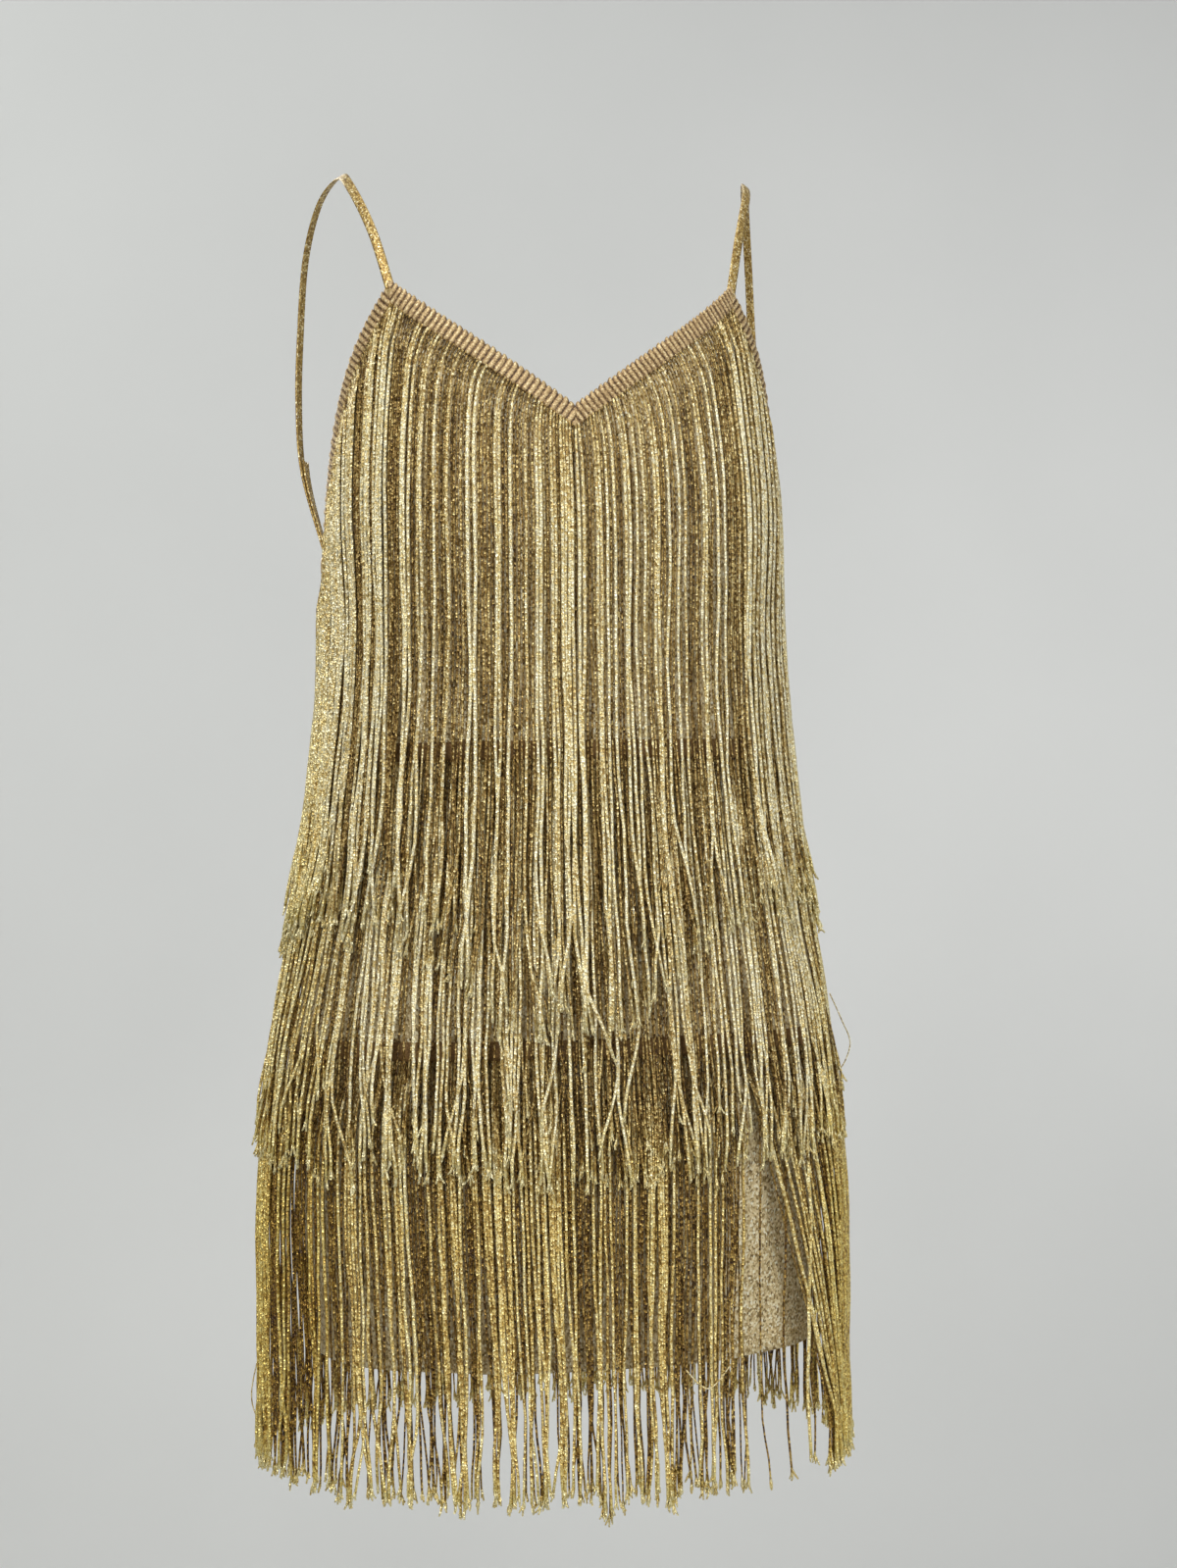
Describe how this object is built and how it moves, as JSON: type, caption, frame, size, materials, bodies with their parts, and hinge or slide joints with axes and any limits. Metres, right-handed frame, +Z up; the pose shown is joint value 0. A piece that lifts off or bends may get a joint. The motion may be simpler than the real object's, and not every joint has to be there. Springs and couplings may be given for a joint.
{
  "type": "fringed mini dress",
  "caption": "Sleeveless mini dress with flat shoulder straps, a V neck edged in ribbed tape and tiers of long metallic fringe, in its hollow worn form.",
  "frame": {"origin": "between the tops of the two shoulder straps, at their height, where the wearer's shoulders carry the dress", "axes": "+Z up; the wearer faces -Y, so +X is their left side"},
  "size_m": [0.3994, 0.2643, 0.8795],
  "materials": {
    "glitter_knit": "fine knit with metallic thread",
    "ribbed_tape": "woven cord-ribbed tape, low sheen",
    "metallic_fringe": "twisted metallic chainette, bright sheen",
    "strap_ribbon": "flat knitted ribbon with metallic thread"
  },
  "bodies": {
    "root": {"front_panel": "glitter_knit", "back_panel": "glitter_knit", "neck_band_right": "ribbed_tape", "neck_band_left": "ribbed_tape", "armhole_band_right": "ribbed_tape", "armhole_band_left": "ribbed_tape", "back_band": "ribbed_tape", "neck_fringe_right": "metallic_fringe", "neck_fringe_left": "metallic_fringe", "armhole_fringe_right": "metallic_fringe", "armhole_fringe_left": "metallic_fringe", "back_fringe": "metallic_fringe", "waist_tier_fringe": "metallic_fringe", "hip_tier_fringe": "metallic_fringe", "strap_right": "strap_ribbon", "strap_left": "strap_ribbon", "strap_tail_right": "strap_ribbon", "strap_tail_left": "strap_ribbon"}
  },
  "joints": []
}
